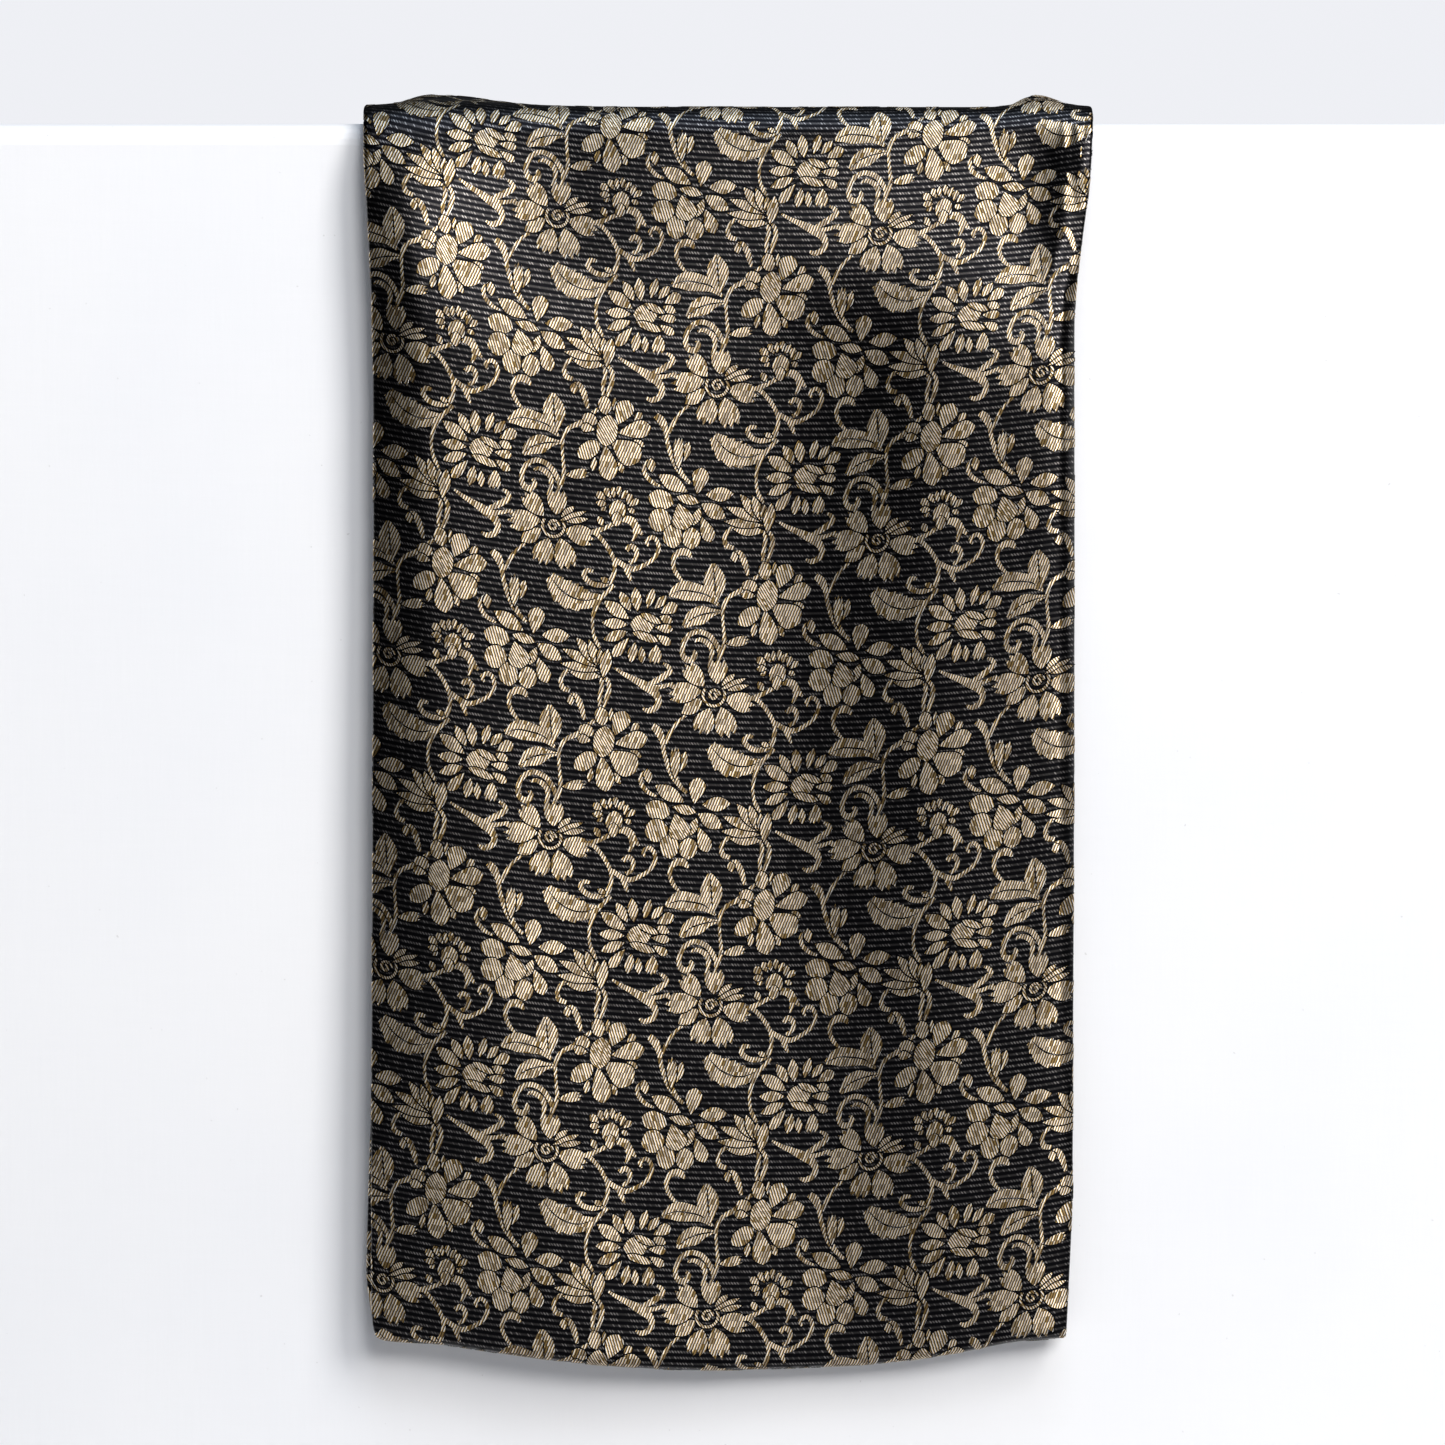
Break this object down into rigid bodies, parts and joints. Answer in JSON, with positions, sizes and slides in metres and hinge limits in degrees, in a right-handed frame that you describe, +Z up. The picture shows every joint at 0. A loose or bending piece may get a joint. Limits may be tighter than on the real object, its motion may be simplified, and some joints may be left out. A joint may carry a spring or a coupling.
{
  "type": "folded brocade silk fabric hung over a board",
  "caption": "A length of floral brocade folded into a long narrow bundle and hung over the rounded top of a plain free-standing board.",
  "frame": {"origin": "middle of the board's base, on the surface that it stands on", "axes": "+X along the board, +Y from the shown side of the cloth to its back, +Z up"},
  "size_m": [0.4, 0.0453, 0.3592],
  "materials": {
    "brocade": "black silk ground with a sheen and a gold figured weave",
    "white_paint": "matt white brushed paint on fibreboard"
  },
  "bodies": {
    "root": {"cloth": "brocade", "board": "white_paint"}
  },
  "joints": []
}
